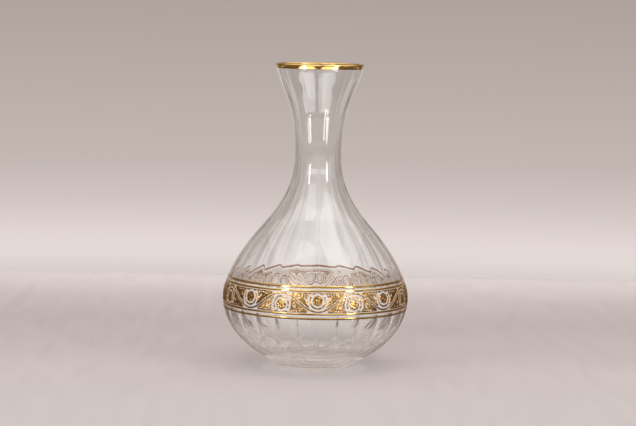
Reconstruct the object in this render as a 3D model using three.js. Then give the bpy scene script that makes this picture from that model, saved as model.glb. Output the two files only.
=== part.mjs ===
// Gilded glass carafe: one blown body with ribs on the inside, a gold rim and a gold frieze on the belly.
// Millimetres, +Z up. The origin is the centre of the face that it stands on, and -Y is the front.
import * as THREE from "three";

// Outline of the glass, from the base to the lip. A reach is how far the curve follows its direction
// at that station before it bends away.
const OVERALL_HEIGHT = 255;
const BASE_FACE_RADIUS = 31;
const BASE_EDGE_RADIUS = 33.8;
const BASE_EDGE_HEIGHT = 1.7;
const BASE_EDGE_ANGLE = 50;
const BASE_EDGE_REACH = 7.1;
const BELLY_RADIUS = 77.7;
const BELLY_HEIGHT = 57.7;
const BELLY_REACH_DOWN = 36;
const BELLY_REACH_UP = 17.6;
const SHOULDER_RADIUS = 45.5;
const SHOULDER_HEIGHT = 118.4;
const SHOULDER_ANGLE = 48.1;
const SHOULDER_REACH_DOWN = 24;
const SHOULDER_REACH_UP = 32.6;
const NECK_RADIUS = 19.5;
const NECK_HEIGHT = 179.4;
const NECK_REACH_DOWN = 19.5;
const NECK_REACH_UP = 42.3;
const RIM_RADIUS = 37;
const RIM_FLARE = 10.9;
const RIM_REACH = 17.4;

// Wall, floor and ribs
const WALL = 2.6;
const FLOOR_THICKNESS = 11;
const FLOOR_REACH = 46;
const HOLLOW_REACH_DOWN = 30;
const RIB_COUNT = 26;
const RIB_DEPTH = 0.8;
const RIB_DEPTH_AT_NECK = 0.1;
const RIB_DEPTH_MOST = 1.3;
const RIB_GROWTH = 5;
const RIB_START_RADIUS = 12;
const RIB_FULL_RADIUS = 36;
const RIB_END_BELOW_LIP = 8;

// Gilding: its thickness, and the gap that keeps it a solid of its own on the glass
const GOLD_THICKNESS = 0.35;
const GOLD_GAP = 0.25;
const RIM_BAND_HEIGHT = 4.6;

// Frieze: heights above the table, and widths measured along the glass. A reserve is bare glass.
const FRIEZE_HEIGHT = 63.1;
const ROUNDEL_COUNT = 16;
const ROUNDEL_RISE = 1.8;
const ROSETTE_RADIUS = 4.4;
const ROSETTE_PETALS = 8;
const ROSETTE_PETAL_DEPTH = 0.4;
const ROSETTE_CROWN = 0.2;
const ROSETTE_CROWN_SHARE = 0.5;
const RESERVE = 1.3;
const SCROLL_WIDTH = 1.4;
const SCROLL_TIP_WIDTH = 0.5;
const SCROLL_OPENING = 124;
const STEM_WIDTH = 1.4;
const STEM_RESERVE = 0.45;
const GROUND_SPREAD = 256;
const GROUND_LEAF_LENGTH = 15.5;
const GROUND_LEAST_WIDTH = 0.4;
const ARCH_STEP_ANGLE = 16;
const BORDER_WIDTH = 1.6;
const BORDER_RESERVE = 0.5;
const LINE_WIDTH = 1.7;
const LINE_RESERVE_UPPER = 1.6;
const LINE_RESERVE_LOWER = 2.1;

// Fineness of the mesh
const STEPS_PER_RIB = 2;
const STEPS_PER_BEND = 5;
const STEPS_PER_CORNER = 2;
const FLOOR_STEPS = 8;
const LIP_STEPS = 2;
const STEM_STEPS = 10;
const SCROLL_STEPS = 10;
const GROUND_STEPS = 18;
const REACH_STEP = 0.1;
const OUTLINE_SAMPLES = 120;

const GOLD_SKIN = GOLD_GAP + GOLD_THICKNESS;
const LIP_RADIUS = WALL / 2;
const AROUND = RIB_COUNT * STEPS_PER_RIB;
const FRONT_ANGLE = -Math.PI / 2;

const radians = THREE.MathUtils.degToRad;
const lerp = THREE.MathUtils.lerp;
const smoothstep = THREE.MathUtils.smoothstep;

const glassMaterial = new THREE.MeshStandardMaterial({
  color: 0xf2f5f4,
  roughness: 0.05,
  metalness: 0,
  transparent: true,
  opacity: 0.35,
});
const goldMaterial = new THREE.MeshStandardMaterial({ color: 0xcf9f3a, roughness: 0.28, metalness: 1 });

// Point of the outline plane: x is the distance from the axis, y the height.
function station(radius, height) {
  return new THREE.Vector2(radius, height);
}

// Outer outline of the glass, from the edge of the base face to the start of the round lip.
function outerCurves() {
  const flare = radians(RIM_FLARE);
  const baseAngle = radians(BASE_EDGE_ANGLE);
  const shoulderAngle = radians(SHOULDER_ANGLE);
  const lipStart = OVERALL_HEIGHT - GOLD_SKIN - LIP_RADIUS * (1 + Math.sin(flare));
  const baseFace = station(BASE_FACE_RADIUS, 0);
  const baseEdge = station(BASE_EDGE_RADIUS, BASE_EDGE_HEIGHT);
  const baseTangent = station(Math.cos(baseAngle), Math.sin(baseAngle));
  const corner = station(BASE_EDGE_RADIUS - BASE_EDGE_HEIGHT / Math.tan(baseAngle), 0);
  const belly = station(BELLY_RADIUS, BELLY_HEIGHT);
  const shoulder = station(SHOULDER_RADIUS, SHOULDER_HEIGHT);
  const shoulderTangent = station(-Math.cos(shoulderAngle), Math.sin(shoulderAngle));
  const neck = station(NECK_RADIUS, NECK_HEIGHT);
  const rim = station(RIM_RADIUS, lipStart);
  const rimTangent = station(Math.sin(flare), Math.cos(flare));
  return [
    new THREE.QuadraticBezierCurve(baseFace, corner, baseEdge),
    new THREE.CubicBezierCurve(
      baseEdge,
      baseEdge.clone().addScaledVector(baseTangent, BASE_EDGE_REACH),
      station(BELLY_RADIUS, BELLY_HEIGHT - BELLY_REACH_DOWN),
      belly,
    ),
    new THREE.CubicBezierCurve(
      belly,
      station(BELLY_RADIUS, BELLY_HEIGHT + BELLY_REACH_UP),
      shoulder.clone().addScaledVector(shoulderTangent, -SHOULDER_REACH_DOWN),
      shoulder,
    ),
    new THREE.CubicBezierCurve(
      shoulder,
      shoulder.clone().addScaledVector(shoulderTangent, SHOULDER_REACH_UP),
      station(NECK_RADIUS, NECK_HEIGHT - NECK_REACH_DOWN),
      neck,
    ),
    new THREE.CubicBezierCurve(
      neck,
      station(NECK_RADIUS, NECK_HEIGHT + NECK_REACH_UP),
      rim.clone().addScaledVector(rimTangent, -RIM_REACH),
      rim,
    ),
  ];
}

const OUTER = outerCurves();

// Points along a curve after its start, each with the outward direction of the surface there.
function curvePoints(curve, steps) {
  return Array.from({ length: steps }, (_, step) => {
    const share = (step + 1) / steps;
    const tangent = curve.getTangent(share);
    return { at: curve.getPoint(share), outward: station(tangent.y, -tangent.x) };
  });
}

const BASE_FACE_EDGE = { at: station(BASE_FACE_RADIUS, 0), outward: station(0, -1) };
const SAMPLED_OUTLINE = [BASE_FACE_EDGE, ...OUTER.flatMap((curve) => curvePoints(curve, OUTLINE_SAMPLES))];

// Outline point at a height above the base, with the outward direction there.
function outlineAt(height) {
  const last = SAMPLED_OUTLINE.length - 1;
  const next = SAMPLED_OUTLINE.findIndex((point) => point.at.y >= height);
  const upper = SAMPLED_OUTLINE[next < 1 ? last : next];
  const lower = SAMPLED_OUTLINE[next < 1 ? last - 1 : next - 1];
  const share = (height - lower.at.y) / (upper.at.y - lower.at.y);
  return {
    at: lower.at.clone().lerp(upper.at, share),
    outward: lower.outward.clone().lerp(upper.outward, share).normalize(),
  };
}

// Closed solid through loops of equal length. The first and last loop are joined, or each is capped.
function loftedGeometry(loops, closed) {
  const count = loops[0].length;
  const points = loops.flat();
  const triangles = [];
  const lastLoop = closed ? loops.length : loops.length - 1;
  for (let loop = 0; loop < lastLoop; loop += 1) {
    const here = loop * count;
    const there = ((loop + 1) % loops.length) * count;
    for (let side = 0; side < count; side += 1) {
      const next = (side + 1) % count;
      triangles.push([here + side, here + next, there + next]);
      triangles.push([here + side, there + next, there + side]);
    }
  }
  if (!closed) {
    triangles.push(...capTriangles(0, count, true));
    triangles.push(...capTriangles((loops.length - 1) * count, count, false));
  }
  if (signedVolume(points, triangles) < 0) {
    triangles.forEach((triangle) => triangle.reverse());
  }
  const geometry = new THREE.BufferGeometry();
  geometry.setFromPoints(points);
  geometry.setIndex(triangles.flat());
  geometry.computeVertexNormals();
  return geometry;
}

// Strips across one end loop, from its first half to its second.
function capTriangles(first, count, reversed) {
  const triangles = [];
  for (let side = 0; side < count / 2 - 1; side += 1) {
    const near = [first + side, first + side + 1];
    const far = [first + count - 1 - side, first + count - 2 - side];
    triangles.push([near[0], near[1], far[1]], [near[0], far[1], far[0]]);
  }
  return reversed ? triangles.map((triangle) => triangle.reverse()) : triangles;
}

// Volume inside the triangles, negative where they face inward.
function signedVolume(points, triangles) {
  let volume = 0;
  for (const [a, b, c] of triangles) {
    volume += points[a].dot(points[b].clone().cross(points[c])) / 6;
  }
  return volume;
}

// Level loop round the axis. radiusAt gives the radius at each angle.
function levelLoop(height, radiusAt) {
  return Array.from({ length: AROUND }, (_, step) => {
    const angle = (step / AROUND) * 2 * Math.PI;
    const radius = radiusAt(angle);
    return new THREE.Vector3(radius * Math.cos(angle), radius * Math.sin(angle), height);
  });
}

// Points of the round lip, grown by an offset, from the outer side over the top to the inner side.
function lipPoints(offset) {
  const flare = radians(RIM_FLARE);
  const end = SAMPLED_OUTLINE[SAMPLED_OUTLINE.length - 1];
  const centre = end.at.clone().addScaledVector(end.outward, -LIP_RADIUS);
  const quarter = Math.PI / 2;
  const angles = [];
  for (let step = 0; step <= 2 * LIP_STEPS; step += 1) {
    const share = step / LIP_STEPS;
    const angle = share <= 1 ? lerp(-flare, quarter, share) : lerp(quarter, Math.PI - flare, share - 1);
    angles.push(angle);
  }
  return angles.map((angle) =>
    station(Math.cos(angle), Math.sin(angle))
      .multiplyScalar(LIP_RADIUS + offset)
      .add(centre),
  );
}

// Inner outline from the lip down to the middle of the floor: the wall's offset, then the bowl's floor.
function innerPoints() {
  const aboveBelly = OUTER.slice(2).flatMap((curve) => curvePoints(curve, STEPS_PER_BEND));
  const wallPoints = aboveBelly
    .slice(0, -1)
    .reverse()
    .map(({ at, outward }) => at.clone().addScaledVector(outward, -WALL));
  const hollowRadius = BELLY_RADIUS - WALL;
  const floor = new THREE.CubicBezierCurve(
    station(hollowRadius, BELLY_HEIGHT),
    station(hollowRadius, BELLY_HEIGHT - HOLLOW_REACH_DOWN),
    station(FLOOR_REACH, FLOOR_THICKNESS),
    station(0, FLOOR_THICKNESS),
  );
  return [...wallPoints, ...floor.getPoints(FLOOR_STEPS).slice(0, -1)];
}

// How far the ribs stand in from the wall at a point of the inner outline.
function ribDepth(point) {
  const belowNeck = Math.max(0, (NECK_HEIGHT - point.y) / (NECK_HEIGHT - BELLY_HEIGHT));
  const alongWall = Math.min(RIB_DEPTH_MOST, lerp(RIB_DEPTH_AT_NECK, RIB_DEPTH, belowNeck ** RIB_GROWTH));
  const onFloor = point.y < BELLY_HEIGHT ? smoothstep(point.x, RIB_START_RADIUS, RIB_FULL_RADIUS) : 1;
  const belowLip = OVERALL_HEIGHT - point.y;
  return alongWall * onFloor * smoothstep(belowLip, 0, RIB_END_BELOW_LIP);
}

// Height of the ribs at an angle, from 1 on a sharp ridge to 0 between two. One ridge is at the front.
function ribCrest(angle) {
  const ribsFromFront = (RIB_COUNT * (angle - FRONT_ANGLE)) / (2 * Math.PI);
  return 1 - 2 * Math.abs(ribsFromFront - Math.round(ribsFromFront));
}

// The blown glass in one piece: base, belly, neck, round lip and the ribbed hollow.
function glassBody() {
  const [corner, ...bends] = OUTER;
  const outside = [
    BASE_FACE_EDGE,
    ...curvePoints(corner, STEPS_PER_CORNER),
    ...bends.flatMap((curve) => curvePoints(curve, STEPS_PER_BEND)),
  ].map(({ at }) => at);
  const smoothPoints = [...outside, ...lipPoints(0).slice(1)];
  const smoothLoops = smoothPoints.map((point) => levelLoop(point.y, () => point.x));
  const ribbedLoops = innerPoints().map((point) => {
    const depth = ribDepth(point);
    return levelLoop(point.y, (angle) => point.x - depth * ribCrest(angle));
  });
  return loftedGeometry([...smoothLoops, ...ribbedLoops], false);
}

// Ring of revolution with a closed section.
function ringGeometry(section) {
  return loftedGeometry(section.map((point) => levelLoop(point.y, () => point.x)), true);
}

// Level band of gold on the glass, centred on a height.
function goldBand(height, width) {
  const edges = [outlineAt(height - width / 2), outlineAt(height + width / 2)];
  const lifted = (edge, lift) => edge.at.clone().addScaledVector(edge.outward, lift);
  return ringGeometry([
    lifted(edges[0], GOLD_GAP),
    lifted(edges[0], GOLD_SKIN),
    lifted(edges[1], GOLD_SKIN),
    lifted(edges[1], GOLD_GAP),
  ]);
}

// Gold cap over the lip, with a band down the outside.
function rimGilding() {
  const bandFoot = outlineAt(OVERALL_HEIGHT - RIM_BAND_HEIGHT);
  const foot = (lift) => bandFoot.at.clone().addScaledVector(bandFoot.outward, lift);
  const outside = [foot(GOLD_SKIN), ...lipPoints(GOLD_SKIN)];
  const inside = [foot(GOLD_GAP), ...lipPoints(GOLD_GAP)];
  return ringGeometry([...outside, ...inside.reverse()]);
}

// Half the height of the frieze's parts, from its middle out
const ROUNDEL_REACH = ROSETTE_RADIUS + RESERVE + SCROLL_WIDTH;
const STEM_SWING = ROUNDEL_REACH + RESERVE + STEM_WIDTH / 2 - ROUNDEL_RISE;
const GROUND_REACH = STEM_SWING + STEM_WIDTH / 2;
const BORDER_REACH = GROUND_REACH + BORDER_RESERVE + BORDER_WIDTH / 2;
const LINE_REACH_UPPER = BORDER_REACH + (BORDER_WIDTH + LINE_WIDTH) / 2 + LINE_RESERVE_UPPER;
const LINE_REACH_LOWER = BORDER_REACH + (BORDER_WIDTH + LINE_WIDTH) / 2 + LINE_RESERVE_LOWER;
const FRIEZE_RADIUS = outlineAt(FRIEZE_HEIGHT).at.x;
const PITCH = (2 * Math.PI * FRIEZE_RADIUS) / ROUNDEL_COUNT;

// Place on the glass: along the frieze from the front, up from its middle, and out from the surface.
function onGlass(along, up, lift) {
  const { at, outward } = outlineAt(FRIEZE_HEIGHT + up);
  const angle = along / FRIEZE_RADIUS + FRONT_ANGLE;
  const radius = at.x + outward.x * lift;
  return new THREE.Vector3(radius * Math.cos(angle), radius * Math.sin(angle), at.y + outward.y * lift);
}

// Height of the stem's centre line: below a high roundel, above the low ones beside it.
function stemCentre(along) {
  return -STEM_SWING * Math.cos((Math.PI * along) / PITCH);
}

// How steeply the stem's centre line climbs.
function stemSlope(along) {
  return ((STEM_SWING * Math.PI) / PITCH) * Math.sin((Math.PI * along) / PITCH);
}

// Section of a gold ribbon through points given as [along, up], from one edge to the other.
function ribbonLoop(across) {
  const under = across.map(([along, up]) => onGlass(along, up, GOLD_GAP));
  const over = across.map(([along, up]) => onGlass(along, up, GOLD_SKIN));
  return [...under, ...over.reverse()];
}

// Waving stem that runs all the way round.
function friezeStem() {
  const steps = ROUNDEL_COUNT * STEM_STEPS;
  const loops = Array.from({ length: steps }, (_, step) => {
    const along = (step / STEM_STEPS) * PITCH;
    const slope = stemSlope(along);
    const halfAcross = STEM_WIDTH / 2 / Math.hypot(1, slope);
    return ribbonLoop([
      [along + slope * halfAcross, stemCentre(along) - halfAcross],
      [along - slope * halfAcross, stemCentre(along) + halfAcross],
    ]);
  });
  return loftedGeometry(loops, true);
}

// A roundel's own frame. High and low roundels take turns, and a low one is a high one upside down.
function roundelFrame(index) {
  const turn = index % 2 === 0 ? 1 : -1;
  return (along, up) => [index * PITCH + along, turn * up];
}

// Point of a roundel, at a distance and an angle in degrees from its centre.
function roundelPoint(frame, reach, degrees) {
  const angle = radians(degrees);
  return frame(reach * Math.cos(angle), ROUNDEL_RISE + reach * Math.sin(angle));
}

// Gold disc with petals and a slight crown.
function rosette(frame) {
  const loop = (share, lift) =>
    Array.from({ length: 2 * ROSETTE_PETALS }, (_, step) => {
      const reach = share * (ROSETTE_RADIUS - (step % 2) * ROSETTE_PETAL_DEPTH);
      return onGlass(...roundelPoint(frame, reach, (step * 180) / ROSETTE_PETALS), lift);
    });
  const loops = [loop(1, GOLD_GAP), loop(1, GOLD_SKIN), loop(ROSETTE_CROWN_SHARE, GOLD_SKIN + ROSETTE_CROWN)];
  return loftedGeometry(loops, false);
}

// Crescent that cups the disc from below and thins towards its two ends.
function scroll(frame) {
  const inner = ROSETTE_RADIUS + RESERVE;
  const first = 90 + SCROLL_OPENING / 2;
  const sweep = 360 - SCROLL_OPENING;
  const loops = Array.from({ length: SCROLL_STEPS + 1 }, (_, step) => {
    const share = step / SCROLL_STEPS;
    const width = lerp(SCROLL_TIP_WIDTH, SCROLL_WIDTH, Math.sqrt(Math.sin(Math.PI * share)));
    const degrees = first + share * sweep;
    return ribbonLoop([roundelPoint(frame, inner, degrees), roundelPoint(frame, inner + width, degrees)]);
  });
  return loftedGeometry(loops, false);
}

// Whether a point of a high roundel's surroundings lies above the stem, clear of it and of the border.
function isOnGround(along, up) {
  const clearOfStem = (STEM_WIDTH / 2 + STEM_RESERVE) * Math.hypot(1, stemSlope(along));
  return up < GROUND_REACH && up > stemCentre(along) + clearOfStem;
}

// How far the ground reaches from the roundel's centre, at an angle in degrees.
function groundReach(start, degrees) {
  const angle = radians(degrees);
  const most = ROUNDEL_REACH + GROUND_LEAF_LENGTH;
  let reach = start + GROUND_LEAST_WIDTH;
  while (reach < most && isOnGround(reach * Math.cos(angle), ROUNDEL_RISE + reach * Math.sin(angle))) {
    reach += REACH_STEP;
  }
  return reach;
}

// Gold ground of a roundel: a leaf on each side, joined by an arch over the disc.
function ground(frame) {
  const archClear = ROSETTE_RADIUS + RESERVE;
  const leafClear = ROUNDEL_REACH + RESERVE;
  const leafFromTop = SCROLL_OPENING / 2 - THREE.MathUtils.radToDeg(RESERVE / ROUNDEL_REACH);
  const loops = Array.from({ length: GROUND_STEPS + 1 }, (_, step) => {
    const fromTop = GROUND_SPREAD * (0.5 - step / GROUND_STEPS);
    const widening = smoothstep(Math.abs(fromTop), leafFromTop - ARCH_STEP_ANGLE, leafFromTop);
    const inner = lerp(archClear, leafClear, widening);
    const outer = groundReach(inner, 90 + fromTop);
    const across = [inner, (inner + outer) / 2, outer];
    return ribbonLoop(across.map((reach) => roundelPoint(frame, reach, 90 + fromTop)));
  });
  return loftedGeometry(loops, false);
}

// Named piece of one material.
function part(name, geometry, material) {
  const mesh = new THREE.Mesh(geometry, material);
  mesh.name = name;
  return mesh;
}

// Lines and borders above and below the scrollwork.
function friezeRings() {
  return [
    part("frieze_line_upper", goldBand(FRIEZE_HEIGHT + LINE_REACH_UPPER, LINE_WIDTH), goldMaterial),
    part("frieze_line_lower", goldBand(FRIEZE_HEIGHT - LINE_REACH_LOWER, LINE_WIDTH), goldMaterial),
    part("frieze_border_upper", goldBand(FRIEZE_HEIGHT + BORDER_REACH, BORDER_WIDTH), goldMaterial),
    part("frieze_border_lower", goldBand(FRIEZE_HEIGHT - BORDER_REACH, BORDER_WIDTH), goldMaterial),
  ];
}

// The gold of one roundel: its disc, the crescent that cups it and the ground round both.
function roundelParts(index) {
  const frame = roundelFrame(index);
  const number = String(index + 1).padStart(2, "0");
  return [
    part(`frieze_rosette_${number}`, rosette(frame), goldMaterial),
    part(`frieze_scroll_${number}`, scroll(frame), goldMaterial),
    part(`frieze_ground_${number}`, ground(frame), goldMaterial),
  ];
}

const carafe = new THREE.Group();
carafe.name = "gilded_carafe";
carafe.add(part("glass_body", glassBody(), glassMaterial));
carafe.add(part("rim_gilding", rimGilding(), goldMaterial));
carafe.add(...friezeRings());
carafe.add(part("frieze_stem", friezeStem(), goldMaterial));
for (let index = 0; index < ROUNDEL_COUNT; index += 1) {
  carafe.add(...roundelParts(index));
}

export default carafe;
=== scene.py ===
"""Gilded ribbed glass carafe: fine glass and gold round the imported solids, on a pale satin table."""

import logging
import math
from dataclasses import dataclass
from enum import Enum
from typing import Callable, Sequence

import bpy
import numpy as np
from mathutils import Matrix, Vector


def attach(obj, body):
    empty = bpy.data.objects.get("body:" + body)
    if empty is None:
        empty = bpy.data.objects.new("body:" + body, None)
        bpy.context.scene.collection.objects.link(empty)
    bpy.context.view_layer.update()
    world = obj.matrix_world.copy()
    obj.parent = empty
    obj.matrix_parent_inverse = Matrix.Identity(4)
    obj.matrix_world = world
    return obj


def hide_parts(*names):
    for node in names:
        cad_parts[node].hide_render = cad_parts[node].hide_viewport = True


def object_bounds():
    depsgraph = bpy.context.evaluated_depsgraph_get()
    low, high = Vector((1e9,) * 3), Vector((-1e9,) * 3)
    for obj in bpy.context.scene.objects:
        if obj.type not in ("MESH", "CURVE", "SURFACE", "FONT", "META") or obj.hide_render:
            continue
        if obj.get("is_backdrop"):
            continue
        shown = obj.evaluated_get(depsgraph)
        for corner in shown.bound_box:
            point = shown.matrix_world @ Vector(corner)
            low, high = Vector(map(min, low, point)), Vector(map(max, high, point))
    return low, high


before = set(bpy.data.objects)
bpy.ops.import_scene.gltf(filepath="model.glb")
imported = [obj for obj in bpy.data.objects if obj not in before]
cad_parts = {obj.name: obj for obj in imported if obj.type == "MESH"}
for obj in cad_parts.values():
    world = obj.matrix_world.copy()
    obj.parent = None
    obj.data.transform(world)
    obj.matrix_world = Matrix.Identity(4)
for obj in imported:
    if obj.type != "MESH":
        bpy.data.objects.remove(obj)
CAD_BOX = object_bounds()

LOG = logging.getLogger("carafe")
MM = 0.001
BODY = "root"

Array = np.ndarray
Point = tuple[float, float]
Span = tuple[float, float]
Polygon = tuple[int, ...]
Colour = tuple[float, float, float, float]
Shades = tuple[tuple[float, Colour], ...]
Socket = bpy.types.NodeSocket


# Shared helpers


def tone(red: int, green: int, blue: int) -> Colour:
    """Turn a display colour into a linear one by the sRGB curve.

    Args:
        red: Red from 0 to 255.
        green: Green from 0 to 255.
        blue: Blue from 0 to 255.

    Returns:
        The linear colour with an alpha of 1.
    """
    shares = [value / 255 for value in (red, green, blue)]
    linear = [s / 12.92 if s <= 0.04045 else ((s + 0.055) / 1.055) ** 2.4 for s in shares]
    return (*linear, 1.0)


def smoothstep(value: Array | float, low: float, high: float) -> Array:
    """Ease from 0 at low to 1 at high.

    Args:
        value: Where to read the curve.
        low: Value at which it leaves 0.
        high: Value at which it reaches 1.

    Returns:
        The eased share.
    """
    share = np.clip((np.asarray(value, dtype=float) - low) / (high - low), 0.0, 1.0)
    return share * share * (3 - 2 * share)


def weighed(values: Array, share: Array) -> Array:
    """Weigh rows of values by the Bernstein terms of their order.

    Args:
        values: Rows to weigh.
        share: Where to read the terms, from 0 to 1.

    Returns:
        A row for each share.
    """
    degree = len(values) - 1
    terms = [math.comb(degree, k) * share**k * (1 - share) ** (degree - k) for k in range(degree + 1)]
    return sum(term[:, None] * value for term, value in zip(terms, values))


def bezier(controls: Sequence[Point], share: Array) -> tuple[Array, Array]:
    """Read a Bezier curve of any order.

    Args:
        controls: Control points.
        share: Where to read it, from 0 to 1.

    Returns:
        The points and the tangents, one row each.
    """
    points = np.array(controls, dtype=float)
    order = len(points) - 1
    return weighed(points, share), weighed(order * np.diff(points, axis=0), share)


def add_mesh(
    name: str, points: list, faces: list[Polygon], materials: Sequence[bpy.types.Material]
) -> bpy.types.Object:
    """Make an object of one mesh and put it in the scene.

    Args:
        name: Name of the object and of its mesh.
        points: Points in metres.
        faces: Numbers of each face's points.
        materials: Its materials, in the order of their slots.

    Returns:
        The object.
    """
    mesh = bpy.data.meshes.new(name)
    mesh.from_pydata(points, [], faces)
    for material in materials:
        mesh.materials.append(material)
    mesh.update()
    added = bpy.data.objects.new(name, mesh)
    bpy.context.scene.collection.objects.link(added)
    return added


# Finishes

# Places of the colours on a Mix node, whose names sockets of other types have too
MIX_FIRST, MIX_SECOND, MIX_RESULT = 6, 7, 2
# Range in which most values of a noise lie
NOISE_SPAN = (0.3, 0.7)


class NodeBoard:
    """Adds shader nodes to a node tree, one after another."""

    def __init__(self, tree: bpy.types.NodeTree) -> None:
        """Start with an empty tree.

        Args:
            tree: Tree that the nodes go into.
        """
        self.tree = tree
        self.output: bpy.types.Node | None = None
        tree.nodes.clear()

    def add(self, kind: str, **settings: object) -> bpy.types.Node:
        """Add a node and set its properties.

        Args:
            kind: Blender's name of the node type.
            **settings: Properties of the node.

        Returns:
            The new node.
        """
        node = self.tree.nodes.new(kind)
        for name, value in settings.items():
            setattr(node, name, value)
        return node

    def link(self, source: Socket, target: Socket) -> None:
        """Join an output to an input."""
        self.tree.links.new(source, target)

    def place(self) -> Socket:
        """Give a place on the object, in metres."""
        return self.add("ShaderNodeTexCoord").outputs["Object"]

    def path(self, kind: str) -> Socket:
        """Tell whether a ray is of a kind, such as Is Camera Ray."""
        return self.add("ShaderNodeLightPath").outputs[kind]

    def split(self, vector: Socket) -> tuple[Socket, ...]:
        """Split a vector.

        Args:
            vector: Vector to split.

        Returns:
            Its X, Y and Z.
        """
        node = self.add("ShaderNodeSeparateXYZ")
        self.link(vector, node.inputs["Vector"])
        return tuple(node.outputs[axis] for axis in "XYZ")

    def noise(self, place: Socket, scale: float, detail: float = 2.0) -> Socket:
        """Add a noise texture.

        Args:
            place: Coordinates to read it at.
            scale: Features per metre.
            detail: Octaves.

        Returns:
            Its value, from 0 to 1.
        """
        node = self.add("ShaderNodeTexNoise")
        node.inputs["Scale"].default_value = scale
        node.inputs["Detail"].default_value = detail
        self.link(place, node.inputs["Vector"])
        return node.outputs["Fac"]

    def stretch(self, place: Socket, scale: tuple[float, float, float]) -> Socket:
        """Scale coordinates by a different share along each axis.

        Args:
            place: Coordinates to scale.
            scale: Share along X, Y and Z.

        Returns:
            The scaled coordinates.
        """
        node = self.add("ShaderNodeMapping")
        node.inputs["Scale"].default_value = scale
        self.link(place, node.inputs["Vector"])
        return node.outputs["Vector"]

    def ramp(self, value: Socket, shades: Sequence[tuple[float, Colour]]) -> Socket:
        """Turn a value into a colour.

        Args:
            value: Value from 0 to 1.
            shades: Pairs of a value and its colour.

        Returns:
            The colour.
        """
        node = self.add("ShaderNodeValToRGB")
        self.link(value, node.inputs["Fac"])
        elements = node.color_ramp.elements
        while len(elements) < len(shades):
            elements.new(0.5)
        for element, (place, colour) in zip(elements, shades):
            element.position = place
            element.color = colour
        return node.outputs["Color"]

    def span(self, value: Socket, source: Span, target: Span, smooth: bool = False) -> Socket:
        """Carry a value from one range to another.

        Args:
            value: Value to carry over.
            source: Range that it comes from.
            target: Range that it goes to.
            smooth: Whether it eases in and out.

        Returns:
            The new value, held inside the target range.
        """
        node = self.add("ShaderNodeMapRange", interpolation_type="SMOOTHSTEP" if smooth else "LINEAR")
        node.inputs["From Min"].default_value, node.inputs["From Max"].default_value = source
        node.inputs["To Min"].default_value, node.inputs["To Max"].default_value = target
        self.link(value, node.inputs["Value"])
        return node.outputs["Result"]

    def math(self, operation: str, first: Socket, second: Socket | None = None) -> Socket:
        """Combine one or two values.

        Args:
            operation: Blender's name of the operation.
            first: First value.
            second: Second value, where there is one.

        Returns:
            The result.
        """
        node = self.add("ShaderNodeMath", operation=operation)
        self.link(first, node.inputs[0])
        if second is not None:
            self.link(second, node.inputs[1])
        return node.outputs["Value"]

    def mix(self, share: Socket, first: Socket, second: Socket) -> Socket:
        """Mix two colours.

        Args:
            share: How much of the second colour is in the mix.
            first: First colour.
            second: Second colour.

        Returns:
            The mixed colour.
        """
        node = self.add("ShaderNodeMix", data_type="RGBA")
        self.link(share, node.inputs["Factor"])
        self.link(first, node.inputs[MIX_FIRST])
        self.link(second, node.inputs[MIX_SECOND])
        return node.outputs[MIX_RESULT]

    def bump(self, height: Socket, depth: float, strength: float = 1.0) -> Socket:
        """Turn a height into a bumped normal.

        Args:
            height: Height from 0 to 1.
            depth: What a height of 1 stands for, in metres.
            strength: Share of the effect.

        Returns:
            The normal.
        """
        node = self.add("ShaderNodeBump")
        node.inputs["Strength"].default_value = strength
        node.inputs["Distance"].default_value = depth
        self.link(height, node.inputs["Height"])
        return node.outputs["Normal"]

    def shader(self, **values: object) -> bpy.types.Node:
        """Add the surface shader and its output.

        Args:
            **values: Values of the shader's sockets, with underscores for spaces.

        Returns:
            The shader's node.
        """
        node = self.add("ShaderNodeBsdfPrincipled")
        for name, value in values.items():
            node.inputs[name.replace("_", " ").title().replace("Ior", "IOR")].default_value = value
        self.output = self.add("ShaderNodeOutputMaterial")
        self.link(node.outputs["BSDF"], self.output.inputs["Surface"])
        return node

    def roughen(self, shader: bpy.types.Node, grain: Socket, roughness: Span) -> None:
        """Let a shader's roughness follow a noise."""
        self.link(self.span(grain, NOISE_SPAN, roughness), shader.inputs["Roughness"])

    def let_lamps_through(self, shader: bpy.types.Node, shade: Colour) -> None:
        """Let the light of lamps pass through glass on its way to what it shades.

        Args:
            shader: The glass's surface shader.
            shade: What is left of the light after each face that it passes.
        """
        clear = self.add("ShaderNodeBsdfTransparent")
        clear.inputs["Color"].default_value = shade
        mix = self.add("ShaderNodeMixShader")
        self.link(self.path("Is Shadow Ray"), mix.inputs["Fac"])
        self.link(shader.outputs["BSDF"], mix.inputs[1])
        self.link(clear.outputs["BSDF"], mix.inputs[2])
        self.link(mix.outputs["Shader"], self.output.inputs["Surface"])


class Finish:
    """A finish by name, whose nodes each kind lays in its own way."""

    name: str

    def lay(self, board: NodeBoard) -> None:
        """Lay the nodes on an empty board."""
        raise NotImplementedError

    def material(self) -> bpy.types.Material:
        """Build the material.

        Returns:
            The material, with the finish's own nodes.
        """
        material = bpy.data.materials.new(self.name)
        material.use_nodes = True
        self.lay(NodeBoard(material.node_tree))
        return material


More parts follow.
